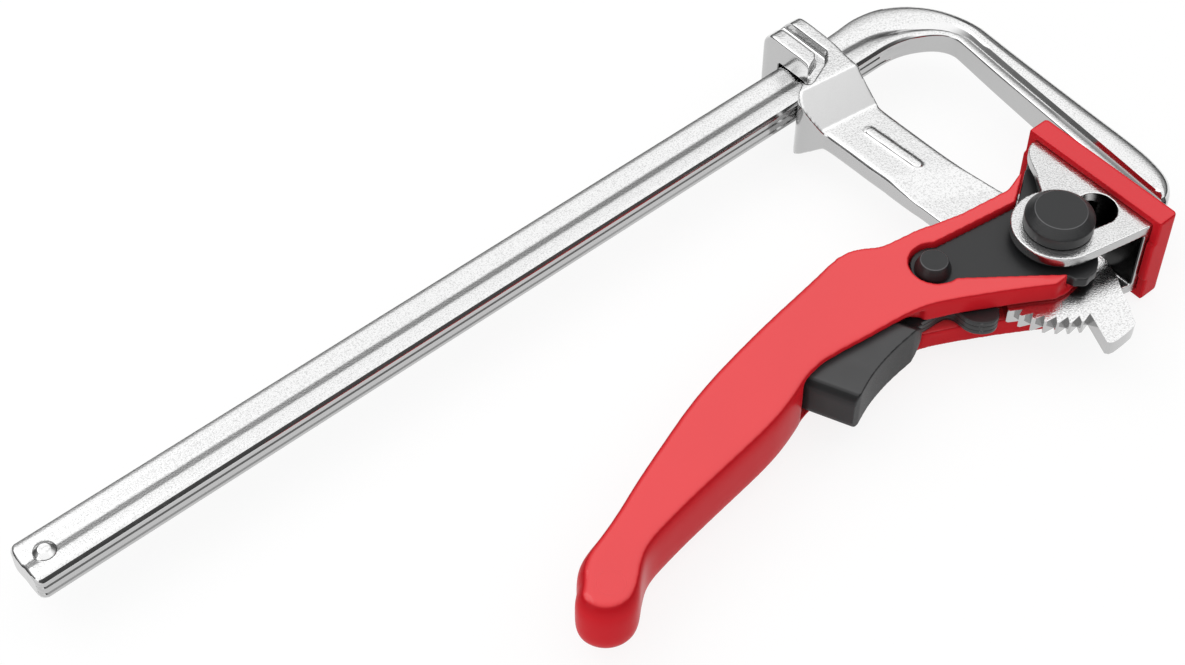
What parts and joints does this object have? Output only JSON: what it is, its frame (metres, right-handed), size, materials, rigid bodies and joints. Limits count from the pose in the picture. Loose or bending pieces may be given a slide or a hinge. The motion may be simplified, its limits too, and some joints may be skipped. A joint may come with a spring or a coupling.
{
  "type": "quick release bar clamp",
  "caption": "Bar clamp with an L-shaped bar and fixed jaw, a sliding arm, and a cam lever with ratchet and release trigger that pushes a capped pad.",
  "frame": {"origin": "on the pad's pressing face, straight out from the pivot pin's axis, in the mid-plane of the clamp", "axes": "+X from the bar's free end towards the fixed jaw, the way the pad presses; +Y from the pad to the bar; +Z across the flat of the clamp"},
  "size_m": [0.2029, 0.0899, 0.0227],
  "materials": {
    "plated_bar": "bright plated, fine grain",
    "plated_rivet": "bright plated",
    "plated_casting": "bright plated casting skin",
    "plated_sheet": "plated, grainy",
    "black_steel": "black oxide, turned rings",
    "black_plate": "black, satin",
    "red_coated": "red coating, satin gloss",
    "red_plastic": "moulded, satin gloss",
    "dark_plastic": "fine texture",
    "spring_steel": "bright wire"
  },
  "bodies": {
    "rail": {"rail": "plated_bar", "end_stop_rivet": "plated_rivet"},
    "carriage": {"sliding_arm": "plated_casting", "pivot_pin": "black_steel", "pivot_pin_washer": "black_steel", "spacer_washers": "black_steel"},
    "pad": {"pressure_bracket": "plated_sheet", "pad_cap": "red_plastic"},
    "lever": {"cam_plate_front": "black_plate", "cam_plate_back": "black_plate", "handle": "red_coated", "handle_rivet": "black_steel", "trigger_spring": "spring_steel"},
    "pawl": {"pawl_plate_front": "black_plate", "pawl_plate_middle": "black_plate", "pawl_plate_back": "black_plate", "trigger": "dark_plastic", "trigger_pins": "black_steel"}
  },
  "joints": [
    {"name": "carriage_slide", "type": "slide", "parent": "rail", "child": "carriage", "axis": [1, 0, 0], "range_m": [-0.16, 0.0028]},
    {"name": "lever_hinge", "type": "hinge", "parent": "carriage", "child": "lever", "pos_m": [-0.0165, 0, 0], "axis": [0, 0, 1], "range_deg": [0, 45]},
    {"name": "pad_slide", "type": "slide", "parent": "carriage", "child": "pad", "axis": [-0.9744, 0.225, 0], "range_m": [0, 0.0034]},
    {"name": "trigger_rock", "type": "hinge", "parent": "lever", "child": "pawl", "pos_m": [-0.0378, 0.00869, 0], "axis": [0, 0, 1], "range_deg": [-8, 0], "stiffness_Nm_per_rad": 0.4, "springref_deg": 5.73, "deforming": ["trigger_spring"]}
  ],
  "couplings": [
    {"joint": "pad_slide", "follows": "lever_hinge", "m_per_rad": 0.0042017}
  ]
}
